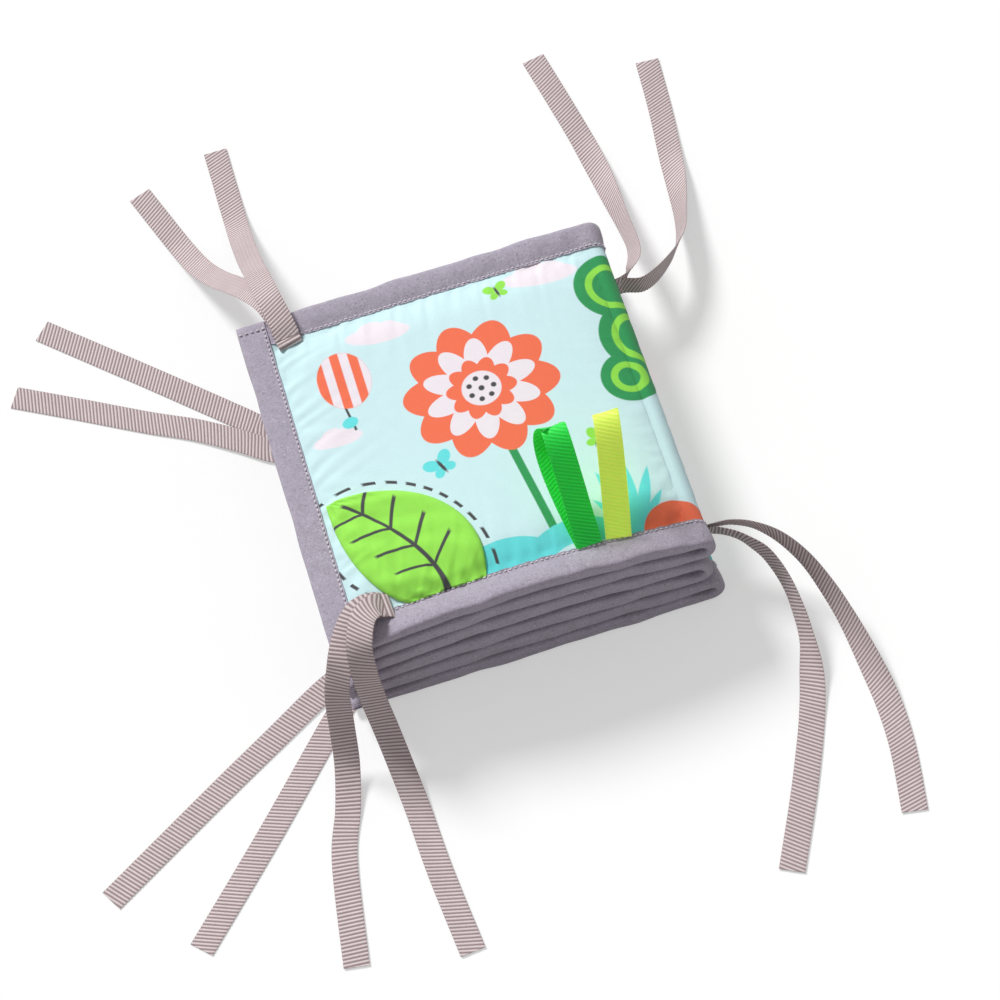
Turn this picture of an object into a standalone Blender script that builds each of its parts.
"""Soft contrast book: six padded cloth pages folded like a concertina, with bound edges and ribbon ties.

Metres, +Z up. The book lies closed on the floor, the front edge along X and the open ends at -X.
Page 1 is on top and page 6 at the bottom, lying flat on the origin.
"""
import math

import bpy
import bmesh
from mathutils import Vector

# Pages
PAGE_WIDTH = 0.150
CROWN_HALF = 0.0036
FOLD_END_HALF = 0.0017
HEM_HALF = 0.0009
CLOTH = 0.0006
CLEARANCE = 0.0003
RISE = 0.020
RISE_SHARE = 0.4
WADDING_INSET = 0.005
FLOOR_PRESS = 0.0005

# Stack
PAGE_COUNT = 6
PITCH = 0.0076
MIDDLE_FOLD_EXTRA = 0.0010
TOP_ARCH = 0.0085
ARCH_SHARES = (1.0, 0.86, 0.70, 0.47, 0.235, 0.0)
ARCH_REACH = 0.072
TOP_SHIFT = 0.0005
FORWARD_DRIFT = 0.0040

# Reach of the folds and of the two loose ends, from the middle of the stack
FOLD_1_2_REACH = 0.0750
FOLD_2_3_REACH = 0.0740
FOLD_3_4_REACH = 0.0730
FOLD_4_5_REACH = 0.0742
FOLD_5_6_REACH = 0.0767
TOP_END_REACH = 0.0750
BASE_END_REACH = 0.0740
WEB = 0.0030
WEB_LAP = 0.0006
HINGE_REACH = 0.0045

# Binding
BINDING_WIDTH = 0.0115
BINDING_HEIGHT = 0.0040
BINDING_WALL = 0.0008

# Ribbon ties
RIBBON_WIDTH = 0.010
RIBBON_THICKNESS = 0.0005

# Loop tags
TAG_WIDTH = 0.010
TAG_THICKNESS = 0.0006
TAG_LENGTH = 0.0470
TAG_BULGE = 0.0050
TAG_HEM = 0.0009
TAG_START = 0.0005
TAG_HINGE_RISE = 0.0006
TAG_LEAN = math.radians(39)
GREEN_TAG_X = 0.0297
GREEN_TAG_SLANT = -0.0008
LIME_TAG_X = 0.0412
LIME_TAG_SLANT = 0.0079

# Leaf flap, its places across the page measured from the end binding's inner edge
LEAF_CLOTH = 0.0005
LEAF_FILM = 0.0003
LEAF_ROOT_LEFT = 0.0225
LEAF_ROOT_RIGHT = 0.0525
LEAF_SPAN = 0.050
LEAF_LEFT_BOW = (0.0135, 0.0020)
LEAF_LEFT_SHARES = (0.075, 0.44)
LEAF_RIGHT_BOW = (0.0615, 0.0415)
LEAF_RIGHT_SHARES = (0.48, 1.0)
LEAF_TIP_LEFT = 0.0025
LEAF_TIP_RIGHT = 0.0050
LEAF_HINGE_RISE = 0.0010

# Grid cells
MIDDLE_CELLS = 4
BINDING_CELLS = 6
WEB_CELLS = 8
TAG_CELLS = 24
LEAF_CELLS = (8, 4)
RIBBON_CELL = 0.008
ROUNDING_SHARE = 0.000001

# Ribbon routes: x, y, z and the turn of the ribbon about its route in degrees
TOP_FRONT_INNER = (
    (-0.0510, -0.0620, 0.0488, 0), (-0.0560, -0.0607, 0.0500, 0), (-0.0620, -0.0625, 0.0503, 0),
    (-0.0685, -0.0700, 0.0484, 0), (-0.0735, -0.0785, 0.0438, 0), (-0.0775, -0.0845, 0.0330, 0),
    (-0.0797, -0.0915, 0.0180, 0), (-0.0822, -0.1020, 0.0060, 0), (-0.0868, -0.1175, 0.0012, 0),
    (-0.0935, -0.1370, 0.0006, 0), (-0.1000, -0.1780, 0.0006, 0),
)
TOP_FRONT_OUTER = (
    (-0.0510, -0.0625, 0.0500, 0), (-0.0550, -0.0630, 0.0526, 0), (-0.0600, -0.0675, 0.0542, 0),
    (-0.0640, -0.0765, 0.0520, 0), (-0.0652, -0.0835, 0.0430, 0), (-0.0650, -0.0885, 0.0290, 0),
    (-0.0638, -0.0965, 0.0150, 0), (-0.0625, -0.1090, 0.0050, 0), (-0.0612, -0.1260, 0.0010, 0),
    (-0.0600, -0.1520, 0.0006, 0), (-0.0570, -0.1860, 0.0006, 0),
)
TOP_BACK_INNER = (
    (-0.0560, 0.0625, 0.0456, 0), (-0.0570, 0.0690, 0.0472, 0), (-0.0605, 0.0800, 0.0478, 0),
    (-0.0660, 0.0920, 0.0405, 0), (-0.0715, 0.1040, 0.0290, 0), (-0.0770, 0.1160, 0.0170, 0),
    (-0.0828, 0.1300, 0.0065, 0), (-0.0880, 0.1450, 0.0012, 0), (-0.0935, 0.1610, 0.0006, 0),
    (-0.0990, 0.1770, 0.0006, 0),
)
TOP_BACK_OUTER = (
    (-0.0560, 0.0625, 0.0466, 0), (-0.0570, 0.0700, 0.0488, 0), (-0.0590, 0.0820, 0.0494, 0),
    (-0.0605, 0.0950, 0.0440, 0), (-0.0618, 0.1080, 0.0340, 0), (-0.0625, 0.1210, 0.0220, 0),
    (-0.0630, 0.1350, 0.0100, 0), (-0.0632, 0.1480, 0.0025, 0), (-0.0632, 0.1620, 0.0007, 0),
    (-0.0630, 0.1870, 0.0006, 0),
)
BASE_FRONT_OUTER = (
    (-0.0610, -0.0596, 0.0011, 0), (-0.0665, -0.0609, 0.0011, 0), (-0.0735, -0.0632, 0.0011, 0),
    (-0.0850, -0.0682, 0.0007, 0), (-0.1050, -0.0795, 0.0004, 0), (-0.1320, -0.0947, 0.0003, 0),
    (-0.1825, -0.1239, 0.0003, 0),
)
BASE_FRONT_INNER = (
    (-0.0580, -0.0605, 0.0003, 0), (-0.0650, -0.0660, 0.0003, 0), (-0.0735, -0.0730, 0.0003, 0),
    (-0.0820, -0.0803, 0.0003, 0), (-0.1180, -0.1176, 0.0003, 0), (-0.1541, -0.1534, 0.0003, 0),
)
BASE_BACK_INNER = (
    (-0.0580, 0.0445, 0.0003, 0), (-0.0660, 0.0462, 0.0003, 0), (-0.0770, 0.0523, 0.0003, 0),
    (-0.0844, 0.0597, 0.0003, 0), (-0.1161, 0.0907, 0.0003, 0), (-0.1536, 0.1268, 0.0003, 0),
)
BASE_BACK_OUTER = (
    (-0.0615, 0.0400, 0.0011, 0), (-0.0670, 0.0385, 0.0011, 0), (-0.0745, 0.0395, 0.0011, 0),
    (-0.0871, 0.0490, 0.0011, 0), (-0.1030, 0.0600, 0.0007, 0), (-0.1211, 0.0701, 0.0004, 0),
    (-0.1460, 0.0850, 0.0003, 0), (-0.1714, 0.0999, 0.0003, 0),
)
MIDDLE_BACK_UPPER = (
    (0.0734, 0.0540, 0.0237, 0), (0.0790, 0.0543, 0.0246, 0), (0.0857, 0.0622, 0.0245, 8),
    (0.0886, 0.0740, 0.0190, 15), (0.0893, 0.0880, 0.0110, 20), (0.0890, 0.1040, 0.0060, 10),
    (0.0883, 0.1200, 0.0022, 0), (0.0862, 0.1400, 0.0007, 0), (0.0830, 0.1600, 0.0006, 0),
    (0.0786, 0.1853, 0.0006, 0),
)
MIDDLE_BACK_LOWER = (
    (0.0734, 0.0540, 0.0227, 0), (0.0790, 0.0540, 0.0226, 0), (0.0860, 0.0522, 0.0222, 0),
    (0.0930, 0.0555, 0.0200, 20), (0.1005, 0.0620, 0.0170, 60), (0.1058, 0.0685, 0.0140, 100),
    (0.1105, 0.0775, 0.0100, 150), (0.1140, 0.0900, 0.0060, 180), (0.1169, 0.1049, 0.0030, 180),
    (0.1190, 0.1200, 0.0010, 180), (0.1220, 0.1430, 0.0006, 180), (0.1241, 0.1675, 0.0006, 180),
)
MIDDLE_FRONT_UPPER = (
    (0.0734, -0.0600, 0.0237, -34), (0.0790, -0.0600, 0.0244, -34), (0.0860, -0.0613, 0.0256, -40),
    (0.0940, -0.0660, 0.0268, -35), (0.1020, -0.0730, 0.0245, -25), (0.1090, -0.0825, 0.0190, -20),
    (0.1140, -0.0940, 0.0125, -15), (0.1175, -0.1070, 0.0075, -10), (0.1200, -0.1230, 0.0035, -5),
    (0.1215, -0.1400, 0.0010, 0), (0.1205, -0.1600, 0.0006, 0), (0.1161, -0.1853, 0.0006, 0),
)
MIDDLE_FRONT_LOWER = (
    (0.0734, -0.0606, 0.0227, -34), (0.0785, -0.0608, 0.0230, -36), (0.0845, -0.0645, 0.0238, -38),
    (0.0900, -0.0697, 0.0234, -35), (0.0955, -0.0762, 0.0200, -30), (0.0995, -0.0860, 0.0135, -20),
    (0.1008, -0.0970, 0.0085, -10), (0.1003, -0.1090, 0.0045, -5), (0.0970, -0.1240, 0.0015, 0),
    (0.0920, -0.1380, 0.0006, 0), (0.0860, -0.1515, 0.0006, 0), (0.0779, -0.1684, 0.0006, 0),
    (0.0651, -0.1931, 0.0006, 0),
)

# Colours in sRGB, with roughness
PRINT_CLOTH = ((0.84, 0.95, 0.96), 0.85)
BINDING_CLOTH = ((0.66, 0.62, 0.68), 0.9)
WADDING_FIBRE = ((0.93, 0.93, 0.91), 1.0)
RIBBON_WEAVE = ((0.72, 0.65, 0.65), 0.8)
GREEN_WEAVE = ((0.12, 0.74, 0.24), 0.75)
LIME_WEAVE = ((0.75, 0.94, 0.28), 0.75)
LEAF_WEAVE = ((0.65, 0.95, 0.35), 0.85)
FILM_SHEET = ((0.90, 0.92, 0.93), 0.35)


def linear(channel):
    """One sRGB channel as a linear value."""
    if channel <= 0.04045:
        return channel / 12.92
    return ((channel + 0.055) / 1.055) ** 2.4


def make_material(name, look):
    """A plain cloth-like material."""
    colour, roughness = look
    material = bpy.data.materials.new(name)
    material.use_nodes = True
    shader = material.node_tree.nodes["Principled BSDF"]
    shader.inputs["Base Color"].default_value = [linear(part) for part in colour] + [1]
    shader.inputs["Roughness"].default_value = roughness
    shader.inputs["Metallic"].default_value = 0
    return material


def along(stops, share):
    """The place a share of the way through a list of stops, straight between them."""
    spot = share * (len(stops) - 1)
    low = min(int(spot + ROUNDING_SHARE), len(stops) - 2)
    return stops[low] + (stops[low + 1] - stops[low]) * (spot - low)


def rise(distance):
    """How far the padding has swelled at a distance from its seam, from 0 to 1."""
    return math.sin(math.pi / 2 * min(1, max(0, distance / RISE)))


def fold_radius(number):
    """Radius of the middle line of the fold between page `number` and the next one."""
    pitch = PITCH + MIDDLE_FOLD_EXTRA if number == 3 else PITCH
    return pitch / 2


FOLD_REACHES = (FOLD_1_2_REACH, -FOLD_2_3_REACH, FOLD_3_4_REACH, -FOLD_4_5_REACH, FOLD_5_6_REACH)


def fold_centre_x(number):
    """X of the centre of a fold's bend."""
    reach = FOLD_REACHES[number - 1]
    outer = fold_radius(number) + WEB / 2
    return reach - outer if reach > 0 else reach + outer


def page_end(number):
    """X where the two pages of a fold end, next to its web."""
    centre = fold_centre_x(number)
    return centre - WEB_LAP - CLEARANCE if centre > 0 else centre + WEB_LAP + CLEARANCE


def hinge_x(number):
    """X of a fold's hinge line, beyond the ends of its pages."""
    end = page_end(number)
    return end + HINGE_REACH if end > 0 else end - HINGE_REACH


def page_z(number):
    """Height of a page's middle plane."""
    height = CROWN_HALF + PITCH * (PAGE_COUNT - number)
    return height + MIDDLE_FOLD_EXTRA if number <= 3 else height


def hinge_z(number):
    """Height of a fold's hinge line, midway between its pages."""
    return (page_z(number) + page_z(number + 1)) / 2


def page_y(number):
    """Y of a page's middle: each lower page lies a little further forward."""
    return -TOP_SHIFT - FORWARD_DRIFT * (number - 1) / (PAGE_COUNT - 1)


def arch(number, x, y):
    """Lift of a page's middle plane: the front edges bow up and the back edges lie straight."""
    bow = math.cos(math.pi / 2 * min(1, abs(x) / ARCH_REACH))
    fade = min(1, max(0, (page_y(number) + PAGE_WIDTH / 2 - y) / PAGE_WIDTH))
    return TOP_ARCH * ARCH_SHARES[number - 1] * bow * fade


def middle(number, x, y):
    """Height of a page's middle plane at a place."""
    return page_z(number) + arch(number, x, y)


def bound_end(number):
    """X of the bound loose end of the first or last page."""
    return -TOP_END_REACH if number == 1 else -BASE_END_REACH


def page_ends(number):
    """The left and right ends of a page's cloth."""
    left_fold = {2: 2, 3: 2, 4: 4, 5: 4}
    right_fold = {1: 1, 2: 1, 3: 3, 4: 3, 5: 5, 6: 5}
    right = page_end(right_fold[number])
    if number in left_fold:
        return page_end(left_fold[number]), right
    return bound_end(number) + BINDING_HEIGHT / 2, right


def end_seam(number):
    """X of the end binding's inner edge."""
    return bound_end(number) + BINDING_WIDTH


def side_seam():
    """Distance of a long binding's inner edge from the page's middle."""
    return PAGE_WIDTH / 2 - BINDING_WIDTH


def half_thickness(number, x, y, crown):
    """Half the padded thickness of a page at a place."""
    left, right = page_ends(number)
    side = rise(side_seam() - abs(y - page_y(number)))
    if number in (1, PAGE_COUNT):
        side = side * rise(x - end_seam(number))
        swell = rise(right - x)
    else:
        swell = rise(x - left) * rise(right - x)
    return HEM_HALF + side * (FOLD_END_HALF - HEM_HALF + (crown - FOLD_END_HALF) * swell)


def upper_face(number, x, y):
    """Half thickness above a page's middle plane."""
    return half_thickness(number, x, y, CROWN_HALF)


def lower_face(number, x, y):
    """Half thickness below a page's middle plane: the last page is pressed flat on the floor."""
    if number < PAGE_COUNT:
        return half_thickness(number, x, y, CROWN_HALF)
    return min(CROWN_HALF, half_thickness(number, x, y, CROWN_HALF + FLOOR_PRESS))


def spread(low, high, cells):
    """Evenly spaced stops from low to high."""
    return [low + (high - low) * step / cells for step in range(cells + 1)]


def page_x_stops(number):
    """Grid lines across a page from left to right, closer where the padding swells."""
    left, right = page_ends(number)
    near = left
    stops = []
    if number in (1, PAGE_COUNT):
        near = end_seam(number)
        stops = [left]
    stops += [near, near + RISE * RISE_SHARE]
    stops += spread(near + RISE, right - RISE, MIDDLE_CELLS)
    stops += [right - RISE * RISE_SHARE, right]
    return stops


def page_y_stops(number, inset):
    """Grid lines of a page from front to back, the outer ones set in from the side seams."""
    seam = side_seam()
    stops = [inset - seam, RISE * RISE_SHARE - seam, RISE - seam, 0]
    return [page_y(number) + stop for stop in stops + [-stop for stop in stops[2::-1]]]


def new_object(name, mesh, material, pivot, collection):
    """Puts a mesh in the collection under the empty of its body, whose place it is built about."""
    piece = bpy.data.objects.new(name, mesh)
    collection.objects.link(piece)
    mesh.materials.append(material)
    mesh.shade_smooth()
    mesh.set_sharp_from_angle(angle=math.radians(40))
    piece.parent = pivot
    piece.location = -Vector(pivot["place"])
    return piece


def grid_shape(cells, place):
    """A bmesh grid whose points are laid by place(u, v), with u and v from 0 to 1."""
    shape = bmesh.new()
    bmesh.ops.create_grid(shape, x_segments=cells[0], y_segments=cells[1], size=1)
    for vertex in shape.verts:
        vertex.co = place((vertex.co.x + 1) / 2, (vertex.co.y + 1) / 2)
    return shape


def make_sheet(name, material, pivot, collection, cells, place, thickness):
    """A thin piece: a grid laid on its middle surface, thickened both ways."""
    shape = grid_shape(cells, place)
    mesh = bpy.data.meshes.new(name)
    shape.to_mesh(mesh)
    shape.free()
    piece = new_object(name, mesh, material, pivot, collection)
    thick = piece.modifiers.new("thickness", "SOLIDIFY")
    thick.thickness = thickness
    thick.offset = 0
    return piece


def make_block(name, material, pivot, collection, cells, top, bottom):
    """A solid between two surfaces over one grid."""
    shape = grid_shape(cells, top)
    lower = bmesh.ops.extrude_face_region(shape, geom=shape.faces[:])["geom"]
    lifted = [item for item in lower if isinstance(item, bmesh.types.BMVert)]
    for vertex in lifted:
        vertex.co.z = bottom((vertex.co.x, vertex.co.y))
    bmesh.ops.recalc_face_normals(shape, faces=shape.faces[:])
    mesh = bpy.data.meshes.new(name)
    shape.to_mesh(mesh)
    shape.free()
    return new_object(name, mesh, material, pivot, collection)


def make_cloth(number, side, material, pivot, collection):
    """The upper (side 1) or lower (side -1) cloth of a page."""
    x_stops = page_x_stops(number)
    hem = page_y(number) - PAGE_WIDTH / 2 + BINDING_HEIGHT / 2
    back_hem = page_y(number) + PAGE_WIDTH / 2 - BINDING_HEIGHT / 2
    y_stops = [hem] + page_y_stops(number, 0) + [back_hem]
    face = upper_face if side > 0 else lower_face

    def place(u, v):
        x, y = along(x_stops, u), along(y_stops, v)
        return x, y, middle(number, x, y) + side * (face(number, x, y) - CLOTH / 2)

    word = "upper" if side > 0 else "lower"
    cells = (len(x_stops) - 1, len(y_stops) - 1)
    make_sheet(f"page_{number}_{word}_cloth", material, pivot, collection, cells, place, CLOTH)


def make_wadding(number, material, pivot, collection):
    """The padding of a page, inside its two cloths."""
    x_stops = page_x_stops(number)
    if number in (1, PAGE_COUNT):
        x_stops = [end_seam(number) + WADDING_INSET] + x_stops[2:]
    y_stops = page_y_stops(number, WADDING_INSET)

    def top(u, v):
        x, y = along(x_stops, u), along(y_stops, v)
        return x, y, middle(number, x, y) + upper_face(number, x, y) - CLOTH - CLEARANCE

    def bottom(spot):
        x, y = spot
        return middle(number, x, y) - lower_face(number, x, y) + CLOTH + CLEARANCE

    cells = (len(x_stops) - 1, len(y_stops) - 1)
    make_block(f"page_{number}_wadding", material, pivot, collection, cells, top, bottom)


def binding_section():
    """Half the middle line of a binding: distance from the edge inward and height, to the edge."""
    height = (BINDING_HEIGHT - BINDING_WALL) / 2
    centre = BINDING_HEIGHT / 2
    half = [(BINDING_WIDTH, height), (centre, height)]
    for step in range(1, BINDING_CELLS // 2):
        turn = math.pi / 2 * step / (BINDING_CELLS // 2 - 1)
        half.append((centre - height * math.sin(turn), height * math.cos(turn)))
    return half + [(inward, -lift) for inward, lift in half[-2::-1]]


def make_long_binding(number, side, material, pivot, collection):
    """The folded binding on a page's front (side -1) or back (side 1) edge."""
    x_stops = page_x_stops(number)
    if number in (1, PAGE_COUNT):
        x_stops = [end_seam(number) + CLEARANCE] + x_stops[2:]
    section = binding_section()
    inward_stops = [inward for inward, lift in section]
    lift_stops = [lift for inward, lift in section]
    edge = page_y(number) + side * PAGE_WIDTH / 2

    def place(u, v):
        x = along(x_stops, u)
        y = edge - side * along(inward_stops, v)
        return x, y, middle(number, x, y) + along(lift_stops, v)

    word = "front" if side < 0 else "back"
    cells = (len(x_stops) - 1, len(section) - 1)
    name = f"page_{number}_{word}_binding"
    make_sheet(name, material, pivot, collection, cells, place, BINDING_WALL)


def make_end_binding(number, material, pivot, collection):
    """The binding over the loose end of the first or last page, the full width of the page."""
    front, back = page_y(number) - PAGE_WIDTH / 2, page_y(number) + PAGE_WIDTH / 2
    y_stops = [front] + page_y_stops(number, 0) + [back]
    section = binding_section()
    inward_stops = [inward for inward, lift in section]
    lift_stops = [lift for inward, lift in section]

    def place(u, v):
        x = bound_end(number) + along(inward_stops, u)
        y = along(y_stops, v)
        return x, y, middle(number, x, y) + along(lift_stops, u)

    cells = (len(section) - 1, len(y_stops) - 1)
    name = f"page_{number}_end_binding"
    make_sheet(name, material, pivot, collection, cells, place, BINDING_WALL)


def make_web(number, material, pivot, collection):
    """The soft bend that joins two pages: a half round with a short straight lap at each page."""
    centre = fold_centre_x(number)
    outward = 1 if centre > 0 else -1
    radius = fold_radius(number)
    edge_y = (page_y(number) + page_y(number + 1)) / 2
    end = page_end(number)
    turns = spread(-math.pi / 2, math.pi / 2, WEB_CELLS)
    reach_stops = [-WEB_LAP] + [radius * math.cos(turn) for turn in turns] + [-WEB_LAP]
    lift_stops = [-radius] + [radius * math.sin(turn) for turn in turns] + [radius]

    def place(u, v):
        y = edge_y + PAGE_WIDTH * (v - 1 / 2)
        lift = (arch(number, end, y) + arch(number + 1, end, y)) / 2
        x = centre + outward * along(reach_stops, u)
        return x, y, hinge_z(number) + lift + along(lift_stops, u)

    name = f"fold_web_{number}_{number + 1}"
    cells = (len(reach_stops) - 1, WEB_CELLS)
    make_sheet(name, material, pivot, collection, cells, place, WEB)


def smooth_route(route, share):
    """A point of the smooth curve through a route's points, with its turn."""
    last = len(route) - 1
    spot = share * last
    low = min(int(spot + ROUNDING_SHARE), last - 1)
    t = spot - low
    points = [route[min(last, max(0, low + step))] for step in (-1, 0, 1, 2)]
    result = []
    for a, b, c, d in zip(*points):
        bend = (2 * a - 5 * b + 4 * c - d) * t * t + (3 * b - a - 3 * c + d) * t * t * t
        result.append((2 * b + (c - a) * t + bend) / 2)
    return result


def even_route(route):
    """The smooth route at even steps along its length, each with the way it runs there."""
    fine = [smooth_route(route, step / 400) for step in range(401)]
    reach = [0]
    for before, after in zip(fine, fine[1:]):
        reach.append(reach[-1] + (Vector(after[:3]) - Vector(before[:3])).length)
    cells = max(4, round(reach[-1] / RIBBON_CELL))
    result, low = [], 0
    for step in range(cells + 1):
        goal = reach[-1] * step / cells
        while low < len(reach) - 2 and reach[low + 1] < goal:
            low += 1
        part = (goal - reach[low]) / (reach[low + 1] - reach[low])
        point = [a + (b - a) * part for a, b in zip(fine[low], fine[low + 1])]
        direction = (Vector(fine[low + 1][:3]) - Vector(fine[low][:3])).normalized()
        result.append((point, direction))
    return result


def ribbon_frame(point, direction):
    """Centre of a ribbon and the direction across it at one point of its route."""
    level = Vector((-direction.y, direction.x, 0)).normalized()
    turn = math.radians(point[3])
    across = level * math.cos(turn) + direction.cross(level) * math.sin(turn)
    return Vector(point[:3]), across


def make_ribbon(name, material, pivot, collection, route):
    """One free tail of a ribbon tie, flat across its route."""
    frames = [ribbon_frame(point, direction) for point, direction in even_route(route)]

    def place(u, v):
        centre, across = frames[round(u * (len(frames) - 1))]
        return centre + across * RIBBON_WIDTH * (v - 1 / 2)

    cells = (len(frames) - 1, 1)
    make_sheet(name, material, pivot, collection, cells, place, RIBBON_THICKNESS)


def tag_hinge(x):
    """Hinge of a loop tag, just above the front binding's inner edge."""
    y = page_y(1) - side_seam()
    return Vector((x, y, middle(1, x, y) + BINDING_HEIGHT / 2 + TAG_HINGE_RISE))


def make_tag(name, material, pivot, collection, x, slant):
    """A folded ribbon loop that leans back over the page."""
    hinge = tag_hinge(x)
    out = Vector((slant / TAG_LENGTH, math.cos(TAG_LEAN), math.sin(TAG_LEAN)))
    off = Vector((0, -math.sin(TAG_LEAN), math.cos(TAG_LEAN)))

    def place(u, v):
        reach = TAG_START + (TAG_LENGTH - TAG_START) * math.sin(math.pi * u)
        apart = -TAG_HEM / 2 * math.cos(math.pi * u) - TAG_BULGE * math.sin(2 * math.pi * u)
        across = Vector((TAG_WIDTH * (v - 1 / 2), 0, 0))
        return hinge + out * reach + off * apart + across

    make_sheet(name, material, pivot, collection, (TAG_CELLS, 1), place, TAG_THICKNESS)


def bezier(stops, share):
    """A value on a four-point curve."""
    a, b, c, d = stops
    rest = 1 - share
    return a * rest ** 3 + 3 * b * rest ** 2 * share + 3 * c * rest * share ** 2 + d * share ** 3


def make_leaf(name, material, pivot, collection, thickness, lift):
    """One layer of the leaf flap, lying on the top page from the front seam."""
    root = page_y(1) - side_seam() + CLEARANCE
    left_insets = (LEAF_ROOT_LEFT, *LEAF_LEFT_BOW, LEAF_TIP_LEFT)
    right_insets = (LEAF_ROOT_RIGHT, *LEAF_RIGHT_BOW, LEAF_TIP_RIGHT)
    left_x = [end_seam(1) + inset for inset in left_insets]
    left_y = [root + LEAF_SPAN * share for share in (0, *LEAF_LEFT_SHARES, 1)]
    right_x = [end_seam(1) + inset for inset in right_insets]
    right_y = [root + LEAF_SPAN * share for share in (0, *LEAF_RIGHT_SHARES, 1)]

    def place(u, v):
        x = bezier(left_x, u) * (1 - v) + bezier(right_x, u) * v
        y = bezier(left_y, u) * (1 - v) + bezier(right_y, u) * v
        return x, y, middle(1, x, y) + upper_face(1, x, y) + CLEARANCE + lift + thickness / 2

    make_sheet(name, material, pivot, collection, LEAF_CELLS, place, thickness)


def leaf_hinge(inset):
    """A point of the leaf's hinge line, above the front binding's inner edge."""
    x, y = end_seam(1) + inset, page_y(1) - side_seam()
    return Vector((x, y, middle(1, x, y) + BINDING_HEIGHT / 2 + LEAF_HINGE_RISE))


def make_pivot(name, place, parent, collection):
    """An empty on a joint's axis."""
    empty = bpy.data.objects.new(name, None)
    collection.objects.link(empty)
    empty["place"] = list(place)
    empty.location = place
    if parent:
        empty.parent = parent
        empty.location = Vector(place) - Vector(parent["place"])
    return empty


def fold_place(number):
    """The hinge of a fold, in the middle of the width of its pages."""
    return hinge_x(number), (page_y(number) + page_y(number + 1)) / 2, hinge_z(number)


def build():
    """The whole book."""
    for item in list(bpy.data.objects):
        bpy.data.objects.remove(item)
    collection = bpy.data.collections.new("contrast_book")
    bpy.context.scene.collection.children.link(collection)
    printed = make_material("print_cloth", PRINT_CLOTH)
    bound = make_material("binding_cloth", BINDING_CLOTH)
    fibre = make_material("wadding", WADDING_FIBRE)
    weave = make_material("ribbon_weave", RIBBON_WEAVE)
    green = make_material("green_tag_weave", GREEN_WEAVE)
    lime = make_material("lime_tag_weave", LIME_WEAVE)
    leaf = make_material("leaf_cloth", LEAF_WEAVE)
    film = make_material("crinkle_film", FILM_SHEET)

    pivots = {PAGE_COUNT: make_pivot("page_6_pivot", (0, 0, 0), None, collection)}
    for number in range(PAGE_COUNT - 1, 0, -1):
        name = f"page_{number}_pivot"
        pivots[number] = make_pivot(name, fold_place(number), pivots[number + 1], collection)
    for number in range(1, PAGE_COUNT + 1):
        pivot = pivots[number]
        make_cloth(number, 1, printed, pivot, collection)
        make_cloth(number, -1, printed, pivot, collection)
        make_wadding(number, fibre, pivot, collection)
        make_long_binding(number, -1, bound, pivot, collection)
        make_long_binding(number, 1, bound, pivot, collection)
        if number in (1, PAGE_COUNT):
            make_end_binding(number, bound, pivot, collection)
        if number < PAGE_COUNT:
            make_web(number, printed, pivots[number + 1], collection)

    middle_pivot = make_pivot("middle_ties_pivot", fold_place(3), pivots[4], collection)
    ties = (
        ("tie_top_front_inner", TOP_FRONT_INNER, pivots[1]),
        ("tie_top_front_outer", TOP_FRONT_OUTER, pivots[1]),
        ("tie_top_back_inner", TOP_BACK_INNER, pivots[1]),
        ("tie_top_back_outer", TOP_BACK_OUTER, pivots[1]),
        ("tie_base_front_inner", BASE_FRONT_INNER, pivots[PAGE_COUNT]),
        ("tie_base_front_outer", BASE_FRONT_OUTER, pivots[PAGE_COUNT]),
        ("tie_base_back_inner", BASE_BACK_INNER, pivots[PAGE_COUNT]),
        ("tie_base_back_outer", BASE_BACK_OUTER, pivots[PAGE_COUNT]),
        ("tie_middle_front_upper", MIDDLE_FRONT_UPPER, middle_pivot),
        ("tie_middle_front_lower", MIDDLE_FRONT_LOWER, middle_pivot),
        ("tie_middle_back_upper", MIDDLE_BACK_UPPER, middle_pivot),
        ("tie_middle_back_lower", MIDDLE_BACK_LOWER, middle_pivot),
    )
    for name, route, pivot in ties:
        make_ribbon(name, weave, pivot, collection, route)

    green_pivot = make_pivot("green_tag_pivot", tag_hinge(GREEN_TAG_X), pivots[1], collection)
    make_tag("loop_tag_green", green, green_pivot, collection, GREEN_TAG_X, GREEN_TAG_SLANT)
    lime_pivot = make_pivot("lime_tag_pivot", tag_hinge(LIME_TAG_X), pivots[1], collection)
    make_tag("loop_tag_lime", lime, lime_pivot, collection, LIME_TAG_X, LIME_TAG_SLANT)

    left, right = leaf_hinge(LEAF_ROOT_LEFT), leaf_hinge(LEAF_ROOT_RIGHT)
    leaf_pivot = make_pivot("leaf_pivot", (left + right) / 2, pivots[1], collection)
    film_lift = LEAF_CLOTH + CLEARANCE
    face_lift = film_lift + LEAF_FILM + CLEARANCE
    make_leaf("leaf_flap_backing", leaf, leaf_pivot, collection, LEAF_CLOTH, 0)
    make_leaf("leaf_crinkle_film", film, leaf_pivot, collection, LEAF_FILM, film_lift)
    make_leaf("leaf_flap_face", leaf, leaf_pivot, collection, LEAF_CLOTH, face_lift)

    for number in range(1, PAGE_COUNT):
        print("fold", number, [round(value, 6) for value in fold_place(number)])
    print("green tag hinge", [round(value, 6) for value in tag_hinge(GREEN_TAG_X)])
    print("lime tag hinge", [round(value, 6) for value in tag_hinge(LIME_TAG_X)])
    print("leaf hinge", [round(value, 6) for value in left], [round(value, 6) for value in right])


build()
